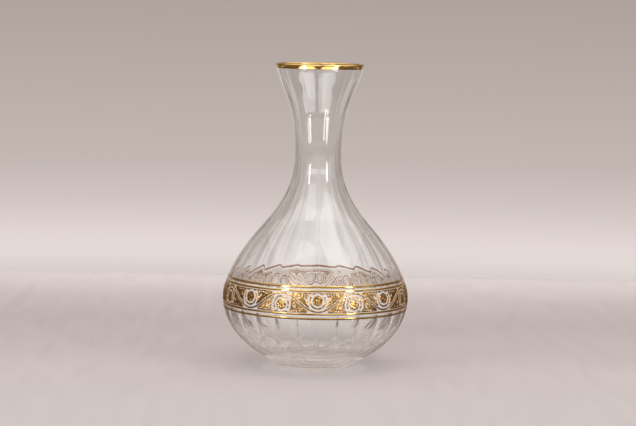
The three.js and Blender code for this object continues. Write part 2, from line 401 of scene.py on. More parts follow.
@dataclass(frozen=True)
class ClearGlass(Finish):
    """Fire-polished colourless glass with the faint waves of blowing."""

    name: str = "clear_glass"
    tint: Colour = (0.985, 0.992, 0.988, 1.0)
    shade: Colour = (0.905, 0.90, 0.90, 1.0)
    ior: float = 1.5
    wave_stretch: tuple[float, float, float] = (1.0, 1.0, 0.45)
    wave_scale: float = 38.0
    wave_detail: float = 1.5
    wave_depth: float = 0.00022

    def lay(self, board: NodeBoard) -> None:
        """Lay smooth glass with long upright waves.

        Args:
            board: Empty board of the material.
        """
        shader = board.shader(base_color=self.tint, transmission_weight=1.0, ior=self.ior, roughness=0.0)
        place = board.stretch(board.place(), self.wave_stretch)
        waves = board.noise(place, self.wave_scale, self.wave_detail)
        board.link(board.bump(waves, self.wave_depth), shader.inputs["Normal"])
        board.let_lamps_through(shader, self.shade)


@dataclass(frozen=True)
class EtchedGlass(Finish):
    """Glass bitten matt by acid, which shows between the gold of the frieze."""

    name: str = "etched_glass"
    tint: Colour = (0.97, 0.95, 0.965, 1.0)
    # Painted shade: a gold-brown colour laid where the glass turns away from view
    painted_edge_shade: Colour = (0.70, 0.53, 0.40, 1.0)
    painted_edge_span: Span = (0.28, 0.62)
    shade: Colour = (0.88, 0.88, 0.88, 1.0)
    clearness: float = 0.6
    ior: float = 1.5
    roughness: Span = (0.30, 0.46)
    grain_scale: float = 2600.0
    grain_depth: float = 0.00004
    grain_strength: float = 0.5

    def lay(self, board: NodeBoard) -> None:
        """Lay matt glass with a painted brown shade, the gold's colour, where it turns away from view.

        Args:
            board: Empty board of the material.
        """
        shader = board.shader(transmission_weight=self.clearness, ior=self.ior)
        facing = board.add("ShaderNodeLayerWeight").outputs["Facing"]
        tint_and_painted_shade = tuple(zip(self.painted_edge_span, (self.tint, self.painted_edge_shade)))
        board.link(board.ramp(facing, tint_and_painted_shade), shader.inputs["Base Color"])
        grain = board.noise(board.place(), self.grain_scale)
        board.roughen(shader, grain, self.roughness)
        board.link(board.bump(grain, self.grain_depth, self.grain_strength), shader.inputs["Normal"])
        board.let_lamps_through(shader, self.shade)


@dataclass(frozen=True)
class FiredGold(Finish):
    """Gold fired on the glass: its colour, and how far it is burnished."""

    name: str
    light: Colour
    deep: Colour
    roughness: Span
    worn: Span = (0.46, 0.58)
    wear_scale: float = 620.0
    grain_scale: float = 900.0
    grain_detail: float = 2.5
    grain_depth: float = 0.00022
    grain_strength: float = 0.6

    def lay(self, board: NodeBoard) -> None:
        """Lay metal that is lighter in spots, with a fine grain.

        Args:
            board: Empty board of the material.
        """
        shader = board.shader(metallic=1.0)
        place = board.place()
        wear = board.noise(place, self.wear_scale)
        colours = tuple(zip(self.worn, (self.deep, self.light)))
        board.link(board.ramp(wear, colours), shader.inputs["Base Color"])
        grain = board.noise(place, self.grain_scale, self.grain_detail)
        board.roughen(shader, grain, self.roughness)
        board.link(board.bump(grain, self.grain_depth, self.grain_strength), shader.inputs["Normal"])


BURNISHED_GOLD = FiredGold(
    "burnished_gold",
    light=(0.86, 0.60, 0.22, 1.0),
    deep=(0.74, 0.49, 0.16, 1.0),
    roughness=(0.05, 0.10),
    wear_scale=95.0,
    grain_depth=0.00002,
)
CHASED_GOLD = FiredGold(
    "chased_gold",
    light=(0.92, 0.62, 0.26, 1.0),
    deep=(0.34, 0.19, 0.07, 1.0),
    roughness=(0.09, 0.26),
    grain_depth=0.00036,
)
FRIEZE_UNDERSIDE = FiredGold(
    "frieze_through_glass",
    light=(1.0, 0.94, 0.86, 1.0),
    deep=(0.92, 0.74, 0.57, 1.0),
    roughness=(0.34, 0.48),
    worn=(0.38, 0.50),
)
OUTLINE_UNDERSIDE = FiredGold(
    "outline_through_glass",
    light=(0.74, 0.40, 0.22, 1.0),
    deep=(0.44, 0.21, 0.10, 1.0),
    roughness=(0.20, 0.30),
)
LINE_UNDERSIDE = FiredGold(
    "line_through_glass",
    light=(0.66, 0.35, 0.19, 1.0),
    deep=(0.40, 0.19, 0.09, 1.0),
    roughness=(0.14, 0.24),
)


@dataclass(frozen=True)
class SatinTable(Finish):
    """Pale satin table top, painted light from near to far, painted shade to the sides. Sizes in metres."""

    name: str = "satin_table"
    near: float = -0.318
    far: float = 0.607
    # Painted light: the table's colour brightens from near to far, most towards the far edge
    shades: Shades = (
        (0.0, tone(207, 200, 199)),
        (0.17, tone(210, 203, 202)),
        (0.32, tone(213, 205, 204)),
        (0.42, tone(209, 200, 199)),
        (0.63, tone(208, 199, 198)),
        (0.78, tone(221, 213, 212)),
        (0.96, tone(248, 241, 240)),
    )
    dims_between: Span = (0.22, 0.75)
    dim_share: float = 0.75
    ior: float = 1.45
    roughness: Span = (0.30, 0.40)
    streak_stretch: tuple[float, float, float] = (14.0, 2.0, 1.0)
    streak_scale: float = 6.0
    streak_detail: float = 3.0

    def lay(self, board: NodeBoard) -> None:
        """Lay painted light from near to far, and painted shade to the sides for all rays but the camera's.

        Args:
            board: Empty board of the material.
        """
        shader = board.shader(ior=self.ior)
        place = board.place()
        across, along, _ = board.split(place)
        colour = board.ramp(board.span(along, (self.near, self.far), (0.0, 1.0)), self.shades)
        # Painted shade: dimmer far out to the sides for every ray but the camera's own
        side = board.math("ABSOLUTE", across)
        light = board.span(side, self.dims_between, (1.0, self.dim_share), smooth=True)
        light = board.math("MAXIMUM", light, board.path("Is Camera Ray"))
        shade = board.add("ShaderNodeVectorMath", operation="SCALE")
        board.link(colour, shade.inputs[0])
        board.link(light, shade.inputs["Scale"])
        board.link(shade.outputs["Vector"], shader.inputs["Base Color"])
        stretched = board.stretch(place, self.streak_stretch)
        streaks = board.noise(stretched, self.streak_scale, self.streak_detail)
        board.roughen(shader, streaks, self.roughness)


@dataclass(frozen=True)
class PaintedShadeFinish(Finish):
    """Dull brown painted shade of the cards that lie out of sight, which gold and glass show."""

    name: str
    light: Colour = tone(98, 84, 74)
    deep: Colour = tone(90, 77, 68)
    roughness: float = 0.9
    shade_mottle_scale: float = 40.0

    def lay(self, board: NodeBoard) -> None:
        """Lay the two browns of the painted shade's mottle.

        Args:
            board: Empty board of the material.
        """
        shader = board.shader(roughness=self.roughness)
        shade_mottle = board.noise(board.place(), self.shade_mottle_scale)
        colours = tuple(zip(NOISE_SPAN, (self.deep, self.light)))
        board.link(board.ramp(shade_mottle, colours), shader.inputs["Base Color"])


# The glass

# Steps on each bend where the outline is read as a surface for the gold
SURFACE_STEPS = 400


class GlassFace(Enum):
    """Faces of the glass that have a finish of their own."""

    CLEAR = 0
    ETCHED = 1


@dataclass(frozen=True)
class Outline:
    """Outer outline of the glass, in millimetres and degrees.

    A reach is how far the curve follows its direction.
    """

    overall_height: float = 255.0
    base_face_radius: float = 31.0
    base_edge_radius: float = 33.8
    base_edge_height: float = 1.7
    base_edge_angle: float = 50.0
    base_edge_reach: float = 7.1
    belly_radius: float = 77.7
    belly_height: float = 57.7
    belly_reach_down: float = 36.0
    belly_reach_up: float = 17.6
    shoulder_radius: float = 45.5
    shoulder_height: float = 118.4
    shoulder_angle: float = 48.1
    shoulder_reach_down: float = 24.0
    shoulder_reach_up: float = 32.6
    neck_radius: float = 19.5
    neck_height: float = 179.4
    neck_reach_down: float = 19.5
    neck_reach_up: float = 42.3
    rim_radius: float = 37.0
    rim_flare: float = 10.9
    rim_reach: float = 17.4
    wall: float = 2.6
    gold_skin: float = 0.6

    @property
    def lip_radius(self) -> float:
        """Radius of the round lip."""
        return self.wall / 2

    def bends(self) -> list[list[Point]]:
        """List the control points of each bend.

        Returns:
            Points of radius and height for the base's edge, bowl, shoulder, neck and mouth.
        """
        flare = math.radians(self.rim_flare)
        base = math.radians(self.base_edge_angle)
        shoulder = math.radians(self.shoulder_angle)
        lip_start = self.overall_height - self.gold_skin - self.lip_radius * (1 + math.sin(flare))
        corner = self.base_edge_radius - self.base_edge_height / math.tan(base)
        base_edge = (self.base_edge_radius, self.base_edge_height)
        belly = (self.belly_radius, self.belly_height)
        waist = (self.shoulder_radius, self.shoulder_height)
        neck = (self.neck_radius, self.neck_height)
        rim = (self.rim_radius, lip_start)

        def from_waist(reach: float) -> Point:
            """Point at a reach along the shoulder's direction."""
            return (waist[0] - reach * math.cos(shoulder), waist[1] + reach * math.sin(shoulder))

        after_base = (
            base_edge[0] + self.base_edge_reach * math.cos(base),
            base_edge[1] + self.base_edge_reach * math.sin(base),
        )
        before_rim = (rim[0] - self.rim_reach * math.sin(flare), rim[1] - self.rim_reach * math.cos(flare))
        return [
            [(self.base_face_radius, 0.0), (corner, 0.0), base_edge],
            [base_edge, after_base, (belly[0], belly[1] - self.belly_reach_down), belly],
            [belly, (belly[0], belly[1] + self.belly_reach_up), from_waist(-self.shoulder_reach_down), waist],
            [waist, from_waist(self.shoulder_reach_up), (neck[0], neck[1] - self.neck_reach_down), neck],
            [neck, (neck[0], neck[1] + self.neck_reach_up), before_rim, rim],
        ]

    def sampled(self, steps: int, first_bend: int = 0) -> tuple[Array, Array]:
        """Read the outline in even steps of each bend.

        Args:
            steps: Steps on each bend.
            first_bend: Bend to start from.

        Returns:
            The points, as rows of radius and height, and the outward directions.
        """
        points, outward = [], []
        for number, controls in enumerate(self.bends()[first_bend:]):
            share = np.linspace(0, 1, steps + 1)[0 if number == 0 else 1 :]
            place, tangent = bezier(controls, share)
            tangent = tangent / np.linalg.norm(tangent, axis=1)[:, None]
            points.append(place)
            outward.append(np.stack([tangent[:, 1], -tangent[:, 0]], axis=1))
        return np.concatenate(points), np.concatenate(outward)

    def end(self) -> tuple[Array, Array]:
        """Find where the outline meets the lip.

        Returns:
            The radius and height there, and the outward direction.
        """
        points, outward = self.sampled(2)
        return points[-1], outward[-1]

    def lip(self, offset: float, steps: int) -> Array:
        """Walk over the round lip from the outside to the inside.

        Args:
            offset: How far outside the glass.
            steps: Steps of the walk.

        Returns:
            Rows of radius and height.
        """
        flare = math.radians(self.rim_flare)
        place, outward = self.end()
        centre = place - outward * self.lip_radius
        angles = np.linspace(-flare, math.pi - flare, steps + 1)
        ring = np.stack([np.cos(angles), np.sin(angles)], axis=1)
        return centre + ring * (self.lip_radius + offset)


class GlassSurface:
    """Outer face of the glass as a place to lay gold on."""

    def __init__(self, outline: Outline, middle: float) -> None:
        """Read the outline once.

        Args:
            outline: Outline of the glass.
            middle: Height that the gold is laid out from.
        """
        self.points, self.outward = outline.sampled(SURFACE_STEPS)
        self.middle = middle
        self.radius = float(self.at(np.array([middle]))[0][0, 0])

    def at(self, height: Array) -> tuple[Array, Array]:
        """Find the outline at some heights.

        Args:
            height: Heights over the table.

        Returns:
            Rows of radius and height, and the outward directions there.
        """
        level = self.points[:, 1]
        place = np.stack([np.interp(height, level, self.points[:, 0]), height], axis=1)
        outward = np.stack([np.interp(height, level, self.outward[:, axis]) for axis in (0, 1)], axis=1)
        return place, outward / np.linalg.norm(outward, axis=1)[:, None]

    def lay(self, along: Array, up: Array, lift: Array) -> Array:
        """Lay points on the glass.

        Args:
            along: Way round the glass from the front, in millimetres.
            up: Height over the middle.
            lift: Height over the glass.

        Returns:
            Points in space, one row each.
        """
        place, outward = self.at(self.middle + up)
        angle = along / self.radius - math.pi / 2
        radius, height = place[:, 0] + outward[:, 0] * lift, place[:, 1] + outward[:, 1] * lift
        return np.stack([radius * np.cos(angle), radius * np.sin(angle), height], axis=1)


@dataclass(frozen=True)
class Piece:
    """Mesh of one piece before it becomes an object, in millimetres."""

    name: str
    points: Array
    faces: list[Polygon]
    face_kinds: list[int]

    def build(self, materials: Sequence[bpy.types.Material], node: str, slot: str) -> bpy.types.Object:
        """Make the object, dress it and let it stand for its solid.

        Args:
            materials: Materials, in the order of the face kinds.
            node: Solid that the piece stands for.
            slot: Material slot of the record; not used.

        Returns:
            The object.
        """
        piece = add_mesh(self.name, (self.points * MM).tolist(), self.faces, materials)
        polygons = piece.data.polygons
        polygons.foreach_set("material_index", self.face_kinds)
        polygons.foreach_set("use_smooth", [True] * len(polygons))
        piece.data.update()
        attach(piece, BODY)
        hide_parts(node)
        LOG.info("%s: %d faces", self.name, len(polygons))
        return piece


def turned(profile: Array, around: int, depth_at: Callable[[Array, Array], Array] | None = None) -> Array:
    """Turn a profile round the axis.

    Args:
        profile: Rows of radius and height.
        around: Points on each turn.
        depth_at: Gives how far each row stands in, from the profile and the angles, where it isn't round.

    Returns:
        Points in space, row by row.
    """
    angle = np.arange(around) / around * 2 * math.pi
    radius = np.repeat(profile[:, :1], around, axis=1)
    if depth_at is not None:
        radius = radius - depth_at(profile, angle)
    height = np.repeat(profile[:, 1:], around, axis=1)
    return np.stack([radius * np.cos(angle), radius * np.sin(angle), height], axis=2).reshape(-1, 3)


def rows_between(rows: int, around: int, closed: bool) -> list[Polygon]:
    """List the faces between turned rows.

    Args:
        rows: Number of rows.
        around: Points on each row.
        closed: Whether the last row meets the first.

    Returns:
        Four-sided faces, which look out where the rows climb on the outside.
    """
    faces = []
    for row in range(rows if closed else rows - 1):
        here, there = row * around, ((row + 1) % rows) * around
        for side in range(around):
            after = (side + 1) % around
            faces.append((here + side, here + after, there + after, there + side))
    return faces


@dataclass
class GlassBody:
    """The blown glass: thick base, belly, neck, round lip and the ribbed hollow. Sizes in millimetres."""

    outline: Outline
    around: int = 468
    steps: int = 20
    lip_steps: int = 10
    floor_steps: int = 34
    base_rings: tuple[float, ...] = (10.0, 20.0)
    floor_thickness: float = 11.0
    floor_reach: float = 46.0
    hollow_reach_down: float = 30.0
    rib_count: int = 26
    rib_depth: float = 0.8
    rib_depth_at_neck: float = 0.1
    rib_depth_most: float = 1.3
    rib_growth: float = 5.0
    rib_softness: float = 0.06
    rib_sharpness: float = 2.0
    rib_sharpness_in_bowl: float = 4.5
    rib_start_radius: float = 12.0
    rib_full_radius: float = 36.0
    rib_end_below_lip: float = 8.0
    bowl_ends_below_belly: float = 8.0
    bowl_fades_above_belly: float = 20.0
    etched_from: float = 51.8
    etched_to: float = 73.8

    def outside(self) -> Array:
        """Trace the outside from the base's face over the lip.

        Returns:
            Rows of radius and height, with a row on each edge of the etched band.
        """
        wall, _ = self.outline.sampled(self.steps)
        etched = np.array([self.etched_from, self.etched_to])
        edges, _ = GlassSurface(self.outline, self.etched_from).at(etched)
        wall = np.insert(wall, np.searchsorted(wall[:, 1], edges[:, 1]), edges, axis=0)
        base = [[radius, 0.0] for radius in self.base_rings]
        return np.concatenate([base, wall, self.outline.lip(0.0, self.lip_steps)[1:]])

    def hollow(self) -> Array:
        """Trace the hollow from the lip to the middle of the floor.

        Returns:
            Rows of radius and height, without the ribs.
        """
        size = self.outline
        points, outward = size.sampled(self.steps, first_bend=2)
        wall = (points - outward * size.wall)[::-1]
        widest = size.belly_radius - size.wall
        controls = [
            (widest, size.belly_height),
            (widest, size.belly_height - self.hollow_reach_down),
            (self.floor_reach, self.floor_thickness),
            (0.0, self.floor_thickness),
        ]
        floor, _ = bezier(controls, np.linspace(0, 1, self.floor_steps + 1)[1:])
        return np.concatenate([wall[1:], floor[:-1]])

    def rib(self, profile: Array, angle: Array) -> Array:
        """Find how far the ribs stand in from the wall.

        Args:
            profile: Rows of radius and height of the hollow.
            angle: Angles round the axis.

        Returns:
            The depth, a row for each row of the profile.
        """
        size = self.outline
        radius, height = profile[:, 0], profile[:, 1]
        below_neck = np.clip((size.neck_height - height) / (size.neck_height - size.belly_height), 0, None)
        growth = below_neck**self.rib_growth
        depth = self.rib_depth_at_neck + (self.rib_depth - self.rib_depth_at_neck) * growth
        fade = smoothstep(radius, self.rib_start_radius, self.rib_full_radius)
        on_floor = np.where(height < size.belly_height, fade, 1.0)
        under_lip = smoothstep(size.overall_height - height, 0, self.rib_end_below_lip)
        depth = np.minimum(depth, self.rib_depth_most) * on_floor * under_lip
        bowl_ends = size.belly_height - self.bowl_ends_below_belly
        in_bowl = 1 - smoothstep(height, bowl_ends, size.belly_height + self.bowl_fades_above_belly)
        sharpness = self.rib_sharpness + (self.rib_sharpness_in_bowl - self.rib_sharpness) * in_bowl
        pitches = self.rib_count * (angle / math.pi + 0.5) / 2
        from_ridge = np.hypot(2 * (pitches - np.round(pitches)), self.rib_softness) - self.rib_softness
        crest = np.clip(1 - from_ridge, 0, 1)[None, :] ** sharpness[:, None]
        return depth[:, None] * crest

    def build(self, clear: bpy.types.Material, etched: bpy.types.Material) -> bpy.types.Object:
        """Make the glass.

        Args:
            clear: Material of the clear glass.
            etched: Material of the band between the frieze's borders.

        Returns:
            The object.
        """
        outside, hollow = self.outside(), self.hollow()
        middles = [[0.0, 0.0, 0.0], [0.0, 0.0, self.floor_thickness]]
        ribbed = turned(hollow, self.around, self.rib)
        points = np.concatenate([turned(outside, self.around), ribbed, middles])
        rows = len(outside) + len(hollow)
        faces = rows_between(rows, self.around, closed=False)
        levels = (outside[:-1, 1] + outside[1:, 1]) / 2
        matt = {row for row, level in enumerate(levels) if self.etched_from <= level <= self.etched_to}
        kinds = [
            GlassFace.ETCHED.value if number // self.around in matt else GlassFace.CLEAR.value
            for number in range(len(faces))
        ]
        last = (rows - 1) * self.around
        for side in range(self.around):
            after = (side + 1) % self.around
            faces.append((after, side, rows * self.around))
            faces.append((last + side, last + after, rows * self.around + 1))
        kinds += [GlassFace.CLEAR.value] * (2 * self.around)
        piece = Piece("glass_carafe_body", points, faces, kinds)
        return piece.build((clear, etched), "glass_body", "glass")


# The gilding

# Where the frieze's edge crosses a cell's side, this share of the side stays free at each end
CROSSING_MARGIN = 0.06
# Depth that a grid point takes when it lies on the edge itself, in millimetres
LEAST_DEPTH = 1e-6


class GoldFace(Enum):
    """Faces of a gilded piece that have a finish of their own."""

    BURNISHED = 0
    UNDERSIDE = 1
    OUTLINE = 2


@dataclass(frozen=True)
class GoldSkin:
    """How the gold stands on the glass, in millimetres: it bites in a little and ends in a low edge."""

    bite: float = 0.05
    edge: float = 0.06
    face: float = 0.16
    relief: float = 0.26
    band_crown: float = 0.1
    edge_width: float = 0.32
    outline: float = 0.6


@dataclass(frozen=True)
class FriezePlan:
    """Sizes of the frieze in millimetres and degrees, laid out from its middle."""

    height: float = 63.1
    roundels: int = 16
    roundel_rise: float = 1.8
    rosette_radius: float = 4.4
    petals: int = 8
    reserve: float = 1.3
    scroll_width: float = 1.4
    scroll_tip_width: float = 0.5
    scroll_opening: float = 124.0
    stem_width: float = 1.4
    stem_reserve: float = 0.45
    ground_spread: float = 256.0
    ground_leaf_length: float = 15.5
    arch_step_angle: float = 16.0
    border_width: float = 1.6
    border_reserve: float = 0.5
    line_width: float = 1.7
    line_reserve_upper: float = 1.6
    line_reserve_lower: float = 2.1

    @property
    def roundel_reach(self) -> float:
        """Radius of a roundel over its crescent."""
        return self.rosette_radius + self.reserve + self.scroll_width

    @property
    def stem_swing(self) -> float:
        """How far the stem swings to each side of the middle."""
        return self.roundel_reach + self.reserve + self.stem_width / 2 - self.roundel_rise

    @property
    def ground_reach(self) -> float:
        """How far the gold ground reaches from the middle."""
        return self.stem_swing + self.stem_width / 2

    @property
    def border_reach(self) -> float:
        """Where the borders run."""
        return self.ground_reach + self.border_reserve + self.border_width / 2

    def line_reach(self, reserve: float) -> float:
        """Where a line runs beyond a border, over bare glass of a given width."""
        return self.border_reach + (self.border_width + self.line_width) / 2 + reserve

    def stem_centre(self, along: Array, pitch: float) -> Array:
        """Height of the stem's middle along the frieze."""
        return -self.stem_swing * np.cos(math.pi * along / pitch)

    def stem_slope(self, along: Array, pitch: float) -> Array:
        """How steeply the stem climbs."""
        return self.stem_swing * math.pi / pitch * np.sin(math.pi * along / pitch)


@dataclass
class Form:
    """A flat form of the frieze in a high roundel's own place. Sizes in millimetres and degrees."""

    plan: FriezePlan

    def frame(self) -> tuple[float, float, float]:
        """Give the half width, the low end and the high end of a frame round the form."""
        raise NotImplementedError

    def inside(self, along: Array, up: Array) -> Array:
        """Give how far points are inside the form, negative outside."""
        raise NotImplementedError

    def relief(self, along: Array, up: Array) -> Array:
        """Give the relief from 0 to 1."""
        raise NotImplementedError

    def round_frame(self, reach: float) -> tuple[float, float, float]:
        """Give a frame that reaches as far to all sides of the roundel's middle."""
        return reach, self.plan.roundel_rise - reach, self.plan.roundel_rise + reach

    def from_top(self, along: Array, up: Array) -> tuple[Array, Array]:
        """Give the distance from the roundel's middle and the angle from straight above it."""
        rise = up - self.plan.roundel_rise
        return np.hypot(along, rise), np.degrees(np.abs(np.arctan2(along, rise)))


def boss(distance: Array, radius: Array | float) -> Array:
    """Height of a round boss, from 1 in the middle to 0 at its radius."""
    return np.sqrt(np.clip(1 - (distance / radius) ** 2, 0, 1))


@dataclass
class RosetteForm(Form):
    """Disc with a berry in the middle, a ring of round petals and a beaded edge."""

    margin: float = 0.5
    berry: float = 1.35
    petal_ring: float = 2.85
    petal_boss: float = 1.02
    petal_relief: float = 0.85
    notch: float = 0.32
    edge_inset: float = 0.45
    edge_width: float = 0.4
    edge_relief: float = 0.35
    bead_relief: float = 0.3
    beads_per_petal: int = 3

    def frame(self) -> tuple[float, float, float]:
        """Frame the disc."""
        return self.round_frame(self.plan.rosette_radius + self.margin)

    def polar(self, along: Array, up: Array) -> tuple[Array, Array]:
        """Give the distance and angle from the roundel's middle."""
        rise = up - self.plan.roundel_rise
        return np.hypot(along, rise), np.arctan2(rise, along)

    def inside(self, along: Array, up: Array) -> Array:
        """Give how far points are inside the disc with its notched edge.

        Args:
            along: Way along the frieze.
            up: Height over its middle.

        Returns:
            The distance from the edge, negative outside.
        """
        reach, angle = self.polar(along, up)
        edge = self.plan.rosette_radius - self.notch * (1 - np.abs(np.cos(self.plan.petals * angle / 2)))
        return edge - reach

    def relief(self, along: Array, up: Array) -> Array:
        """Give the relief of the berry, the petals and the beaded edge.

        Args:
            along: Way along the frieze.
            up: Height over its middle.

        Returns:
            The relief, from 0 to 1.
        """
        reach, angle = self.polar(along, up)
        pitch = 2 * math.pi / self.plan.petals
        nearest = np.round(angle / pitch) * pitch
        petal = np.hypot(
            along - self.petal_ring * np.cos(nearest),
            up - self.plan.roundel_rise - self.petal_ring * np.sin(nearest),
        )
        beads = self.edge_relief + self.bead_relief * np.cos(self.beads_per_petal * self.plan.petals * angle)
        edge = boss(reach - self.plan.rosette_radius + self.edge_inset, self.edge_width) * beads
        petals = self.petal_relief * boss(petal, self.petal_boss)
        return np.maximum.reduce([boss(reach, self.berry), petals, edge])


@dataclass
class ScrollForm(Form):
    """Crescent that cups the disc from below, with a bud on each tip."""

    margin: float = 1.0
    bud: float = 0.85
    bud_turn: float = 6.0
    crescent_relief: float = 0.7
    least_boss: float = 0.2

    def frame(self) -> tuple[float, float, float]:
        """Frame the crescent."""
        return self.round_frame(self.plan.roundel_reach + self.margin)

    def ribbon(self, along: Array, up: Array) -> tuple[Array, Array]:
        """Follow the crescent.

        Args:
            along: Way along the frieze.
            up: Height over its middle.

        Returns:
            The distance from the crescent's middle line, and its half width there.
        """
        plan = self.plan
        reach, from_top = self.from_top(along, up)
        opening = plan.scroll_opening / 2
        share = np.clip((from_top - opening) / (180 - opening), 0, 1)
        swell = np.sqrt(np.sin(math.pi / 2 * share))
        width = plan.scroll_tip_width + (plan.scroll_width - plan.scroll_tip_width) * swell
        middle = plan.rosette_radius + plan.reserve + width / 2
        off_end = np.radians(np.clip(opening - from_top, 0, None)) * middle
        return np.hypot(reach - middle, off_end), width / 2

    def bud_distance(self, along: Array, up: Array) -> Array:
        """Give the distance from the nearer bud's middle.

        Args:
            along: Way along the frieze.
            up: Height over its middle.

        Returns:
            The distance.
        """
        angle = math.radians(self.plan.scroll_opening / 2 + self.bud_turn)
        reach = self.plan.rosette_radius + self.plan.reserve + self.plan.scroll_tip_width
        x, y = reach * math.sin(angle), self.plan.roundel_rise + reach * math.cos(angle)
        return np.hypot(np.abs(along) - x, up - y)

    def inside(self, along: Array, up: Array) -> Array:
        """Give how far points are inside the crescent or a bud."""
        distance, half = self.ribbon(along, up)
        return np.maximum(half - distance, self.bud - self.bud_distance(along, up))

    def relief(self, along: Array, up: Array) -> Array:
        """Give the rounded relief of the crescent and the buds.

        Args:
            along: Way along the frieze.
            up: Height over its middle.

        Returns:
            The relief, from 0 to 1.
        """
        distance, half = self.ribbon(along, up)
        crescent = self.crescent_relief * boss(distance, np.maximum(half, self.least_boss))
        return np.maximum(crescent, boss(self.bud_distance(along, up), self.bud))


@dataclass
class GroundForm(Form):
    """Gold ground of a roundel: a veined leaf on each side, joined by an arch, pierced by dots and slits."""

    pitch: float
    margin: float = 0.5
    dot: float = 0.5
    dot_count: int = 4
    dot_spacing: float = 2.1
    first_dot_inset: float = 0.6
    dots_below_border: float = 1.5
    slit_along: float = 1.6
    slit_below_dots: float = 3.4
    slit_turn: float = 38.0
    slit_half_width: float = 0.55
    slit_half_length: float = 1.7
    edge_width: float = 0.45
    edge_relief: float = 0.55
    vein_spacing: float = 1.15
    vein_direction: tuple[float, float] = (0.8, 0.6)
    vein_sharpness: int = 3
    vein_relief: float = 0.45
    vein_least: float = 0.6
    bead_relief: float = 0.35

    def frame(self) -> tuple[float, float, float]:
        """Frame the ground."""
        half_width = self.plan.roundel_reach + self.plan.ground_leaf_length + self.margin
        return half_width, -self.plan.ground_reach, self.plan.ground_reach + self.margin

    def unpierced(self, along: Array, up: Array) -> Array:
        """Give how far points are inside the ground before it is pierced.

        Args:
            along: Way along the frieze.
            up: Height over its middle.

        Returns:
            The distance from the nearest of its edges, negative outside.
        """
        plan = self.plan
        reach, from_top = self.from_top(along, up)
        arch = plan.rosette_radius + plan.reserve
        leaf = plan.roundel_reach + plan.reserve
        leaf_from_top = plan.scroll_opening / 2 - math.degrees(plan.reserve / plan.roundel_reach)
        widening = smoothstep(from_top, leaf_from_top - plan.arch_step_angle, leaf_from_top)
        clear_of_disc = reach - (arch + (leaf - arch) * widening)
        slope = plan.stem_slope(along, self.pitch)
        over_stem = (up - plan.stem_centre(along, self.pitch)) / np.hypot(1, slope) - plan.stem_width / 2
        spread = np.radians(plan.ground_spread / 2 - from_top) * reach
        length = plan.roundel_reach + plan.ground_leaf_length - reach
        under_border = plan.ground_reach - up
        return np.minimum.reduce([clear_of_disc, over_stem - plan.stem_reserve, spread, length, under_border])

    def piercings(self, along: Array, up: Array) -> Array:
        """Give the distance outside the nearest dot or slit.

        Args:
            along: Way along the frieze.
            up: Height over its middle.

        Returns:
            The distance, negative inside one.
        """
        plan = self.plan
        side = np.abs(along)
        first = plan.roundel_reach + plan.reserve + self.first_dot_inset
        level = plan.ground_reach - self.dots_below_border
        number = np.clip(np.round((side - first) / self.dot_spacing), 0, self.dot_count - 1)
        dots = np.hypot(side - first - number * self.dot_spacing, up - level) - self.dot
        turn = math.radians(self.slit_turn)
        x, y = side - first - self.slit_along, up - level + self.slit_below_dots
        across = x * math.cos(turn) - y * math.sin(turn)
        lengthwise = x * math.sin(turn) + y * math.cos(turn)
        slit = np.hypot(across / self.slit_half_width, lengthwise / self.slit_half_length) - 1
        return np.minimum(dots, slit * self.slit_half_width)

    def inside(self, along: Array, up: Array) -> Array:
        """Give how far points are inside the pierced ground."""
        return np.minimum(self.unpierced(along, up), self.piercings(along, up))

    def relief(self, along: Array, up: Array) -> Array:
        """Give the relief of the leaves' beaded veins and of the raised edge.

        Args:
            along: Way along the frieze.
            up: Height over its middle.

        Returns:
            The relief, from 0 to 1.
        """
        edge = self.edge_relief * boss(self.unpierced(along, up) - self.edge_width, self.edge_width)
        side = np.abs(along)
        run, climb = self.vein_direction
        turns_across = math.pi * (side * run - up * climb) / self.vein_spacing
        turns_along = math.pi * (side * climb + up * run) / self.vein_spacing
        veins = self.vein_relief * np.abs(np.cos(turns_across)) ** self.vein_sharpness
        return np.maximum(edge, veins * (self.vein_least + self.bead_relief * np.abs(np.sin(turns_along))))


